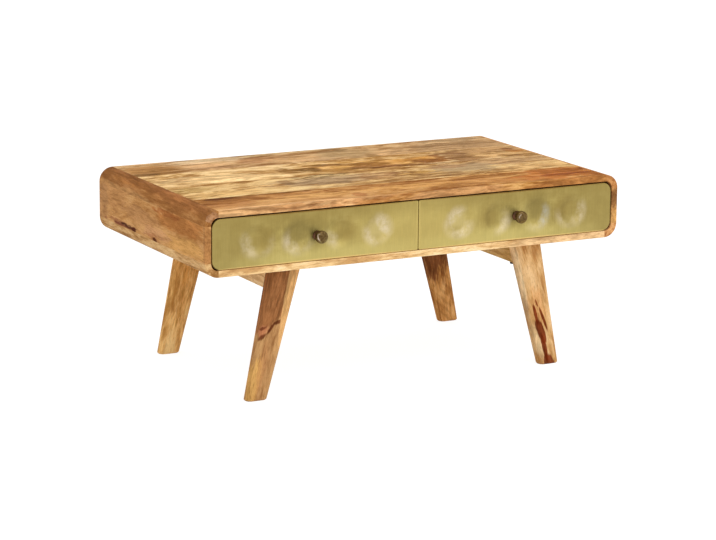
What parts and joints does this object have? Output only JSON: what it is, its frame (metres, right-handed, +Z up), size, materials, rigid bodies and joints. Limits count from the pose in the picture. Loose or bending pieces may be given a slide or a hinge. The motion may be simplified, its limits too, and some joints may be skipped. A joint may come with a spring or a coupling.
{
  "type": "coffee table",
  "caption": "Low wooden coffee table with a rounded box body, splayed tapered legs and side-by-side drawers faced in dimpled brass sheet.",
  "frame": {"origin": "on the floor, under the centre of the table's box, knobs included", "axes": "+X along the length, to the right seen from the front; -Y to the front, where the drawers open; +Z up"},
  "size_m": [0.9, 0.523, 0.382],
  "materials": {
    "carcass_wood": "satin",
    "leg_wood": "satin",
    "inner_wood": "matte",
    "drawer_wood": "matte",
    "drawer_panel": "matte",
    "brass_sheet": "brushed",
    "aged_brass": "satin",
    "dark_steel": "satin",
    "bright_steel": "satin"
  },
  "bodies": {
    "table": {"corner_block_lower_left": "carcass_wood", "corner_block_upper_left": "carcass_wood", "corner_block_lower_right": "carcass_wood", "corner_block_upper_right": "carcass_wood", "side_board_left": "carcass_wood", "side_board_right": "carcass_wood", "top_board_1": "carcass_wood", "top_board_2": "carcass_wood", "top_board_3": "carcass_wood", "top_board_4": "carcass_wood", "bottom_board_1": "carcass_wood", "bottom_board_2": "carcass_wood", "bottom_board_3": "carcass_wood", "bottom_board_4": "carcass_wood", "back_panel": "inner_wood", "centre_divider": "inner_wood", "runner_left_outer": "inner_wood", "runner_left_inner": "inner_wood", "runner_right_outer": "inner_wood", "runner_right_inner": "inner_wood", "leg_front_left": "leg_wood", "leg_front_right": "leg_wood", "leg_back_left": "leg_wood", "leg_back_right": "leg_wood", "leg_rail_left": "leg_wood", "leg_rail_right": "leg_wood", "rail_bolts": "dark_steel"},
    "left_drawer": {"left_drawer_brass": "brass_sheet", "left_drawer_front": "inner_wood", "left_drawer_side_outer": "drawer_wood", "left_drawer_side_inner": "drawer_wood", "left_drawer_back": "drawer_wood", "left_drawer_bottom": "drawer_panel", "left_drawer_knob": "aged_brass", "left_drawer_knob_screw": "bright_steel"},
    "right_drawer": {"right_drawer_brass": "brass_sheet", "right_drawer_front": "inner_wood", "right_drawer_side_outer": "drawer_wood", "right_drawer_side_inner": "drawer_wood", "right_drawer_back": "drawer_wood", "right_drawer_bottom": "drawer_panel", "right_drawer_knob": "aged_brass", "right_drawer_knob_screw": "bright_steel"}
  },
  "joints": [
    {"name": "left_drawer_slide", "type": "slide", "parent": "table", "child": "left_drawer", "axis": [0, -1, 0], "range_m": [0, 0.3]},
    {"name": "right_drawer_slide", "type": "slide", "parent": "table", "child": "right_drawer", "axis": [0, -1, 0], "range_m": [0, 0.3]}
  ]
}
